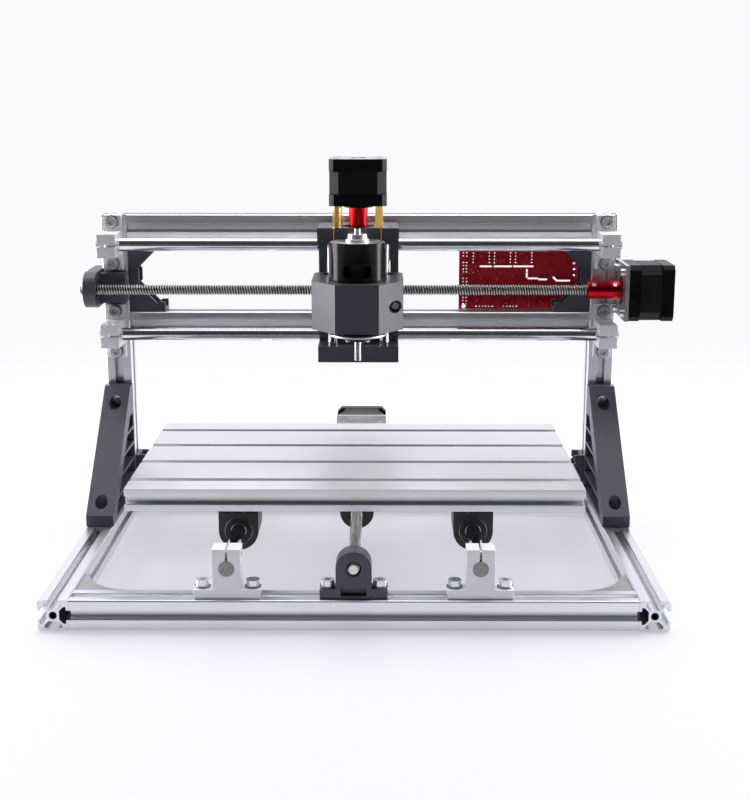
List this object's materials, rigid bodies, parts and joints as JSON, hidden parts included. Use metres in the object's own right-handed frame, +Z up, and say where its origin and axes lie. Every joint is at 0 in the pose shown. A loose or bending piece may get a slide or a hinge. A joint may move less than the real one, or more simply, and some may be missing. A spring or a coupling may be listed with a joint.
{
  "type": "cnc router",
  "caption": "Desktop CNC router: slotted profile frame, bed on round rods, gantry with cross carriage, lift slide, lead screws, steppers and a spindle motor.",
  "frame": {"origin": "on the floor, under the middle of the whole machine's bounding box", "axes": "+X right across the gantry, +Y to the back along the bed's travel, +Z up along the spindle"},
  "size_m": [0.451, 0.367, 0.285],
  "materials": {
    "profile_aluminium": "satin anodised extrusion",
    "bed_aluminium": "satin anodised slotted plate",
    "support_aluminium": "matte cast and milled",
    "zinc_casting": "tumbled grey casting",
    "dark_plastic": "moulded, fine matte",
    "black_plastic": "moulded, fine matte",
    "chrome_rod": "hard chromed and ground",
    "screw_steel": "rolled thread",
    "bearing_steel": "ground",
    "plate_steel": "zinc plated sheet",
    "zinc_screw": "bright zinc",
    "motor_black": "satin black",
    "can_black": "gloss black",
    "cap_metal": "plated",
    "red_anodised": "red anodised",
    "brass": "turned",
    "board_red": "solder mask",
    "driver_board_blue": "solder mask",
    "connector_white": "moulded",
    "sink_aluminium": "anodised",
    "copper_winding": "laminations and windings"
  },
  "bodies": {
    "frame": {"side_profiles": "profile_aluminium", "cross_profiles": "profile_aluminium", "uprights": "profile_aluminium", "gantry_beams": "profile_aluminium", "left_gusset": "dark_plastic", "right_gusset": "dark_plastic", "base_corner_brackets": "zinc_casting", "gantry_corner_brackets": "dark_plastic", "y_rod_supports": "support_aluminium", "x_rod_supports": "support_aluminium", "y_rods": "chrome_rod", "x_rods": "chrome_rod", "y_screw_block": "dark_plastic", "x_screw_block": "dark_plastic", "screw_end_bearings": "bearing_steel", "y_motor_plate": "plate_steel", "x_motor_plate": "plate_steel", "y_motor": "motor_black", "x_motor": "motor_black", "controller_board": "board_red", "controller_connectors": "connector_white", "controller_heat_sinks": "sink_aluminium", "controller_standoffs": "brass", "driver_boards": "driver_board_blue", "profile_screws": "zinc_screw", "slot_nuts": "zinc_screw", "support_clamp_screws": "zinc_screw", "motor_screws": "zinc_screw"},
    "bed": {"bed_plate": "bed_aluminium", "y_slider_blocks": "black_plastic", "y_linear_bearings": "bearing_steel", "y_nut_block": "black_plastic", "y_lead_nut": "brass", "bed_bolts": "zinc_screw"},
    "y_drive": {"y_lead_screw": "screw_steel", "y_coupling": "red_anodised", "y_motor_shaft": "bearing_steel"},
    "x_drive": {"x_lead_screw": "screw_steel", "x_coupling": "red_anodised", "x_motor_shaft": "bearing_steel"},
    "carriage": {"x_carriage_body": "dark_plastic", "x_linear_bearings": "bearing_steel", "x_lead_nut": "brass", "z_guide_rods": "chrome_rod", "motor_standoffs": "brass", "z_motor": "motor_black", "z_end_bearing": "bearing_steel"},
    "z_drive": {"z_lead_screw": "screw_steel", "z_coupling": "red_anodised", "z_motor_shaft": "bearing_steel"},
    "spindle_head": {"spindle_holder": "dark_plastic", "z_linear_bearings": "bearing_steel", "z_lead_nut": "brass", "spindle_can": "can_black", "spindle_end_caps": "cap_metal", "spindle_terminals": "brass", "spindle_clamp_screw": "zinc_screw", "clamp_insert": "black_plastic"},
    "spindle_rotor": {"spindle_shaft": "bearing_steel", "spindle_armature": "copper_winding"}
  },
  "joints": [
    {"name": "bed_slide", "type": "slide", "parent": "frame", "child": "bed", "axis": [0, 1, 0], "range_m": [-0.058, 0.122]},
    {"name": "y_screw_spin", "type": "hinge", "parent": "frame", "child": "y_drive", "pos_m": [-0.012, -0.0135, 0.04], "axis": [0, 1, 0], "range_deg": [-10981, 5221]},
    {"name": "carriage_slide", "type": "slide", "parent": "frame", "child": "carriage", "axis": [1, 0, 0], "range_m": [-0.148, 0.142]},
    {"name": "x_screw_spin", "type": "hinge", "parent": "frame", "child": "x_drive", "pos_m": [-0.012, 0.0445, 0.1845], "axis": [1, 0, 0], "range_deg": [-12781, 13321]},
    {"name": "spindle_lift", "type": "slide", "parent": "carriage", "child": "spindle_head", "axis": [0, 0, 1], "range_m": [-0.017, 0.021]},
    {"name": "z_screw_spin", "type": "hinge", "parent": "carriage", "child": "z_drive", "pos_m": [-0.012, 0.0275, 0.1845], "axis": [0, 0, 1], "range_deg": [-1891, 1531]},
    {"name": "spindle_spin", "type": "hinge", "parent": "spindle_head", "child": "spindle_rotor", "pos_m": [-0.012, -0.0135, 0.185], "axis": [0, 0, 1], "continuous": true}
  ],
  "couplings": [
    {"joint": "y_screw_spin", "follows": "bed_slide", "rad_per_m": -1570.8},
    {"joint": "x_screw_spin", "follows": "carriage_slide", "rad_per_m": -1570.8},
    {"joint": "z_screw_spin", "follows": "spindle_lift", "rad_per_m": -1570.8}
  ]
}
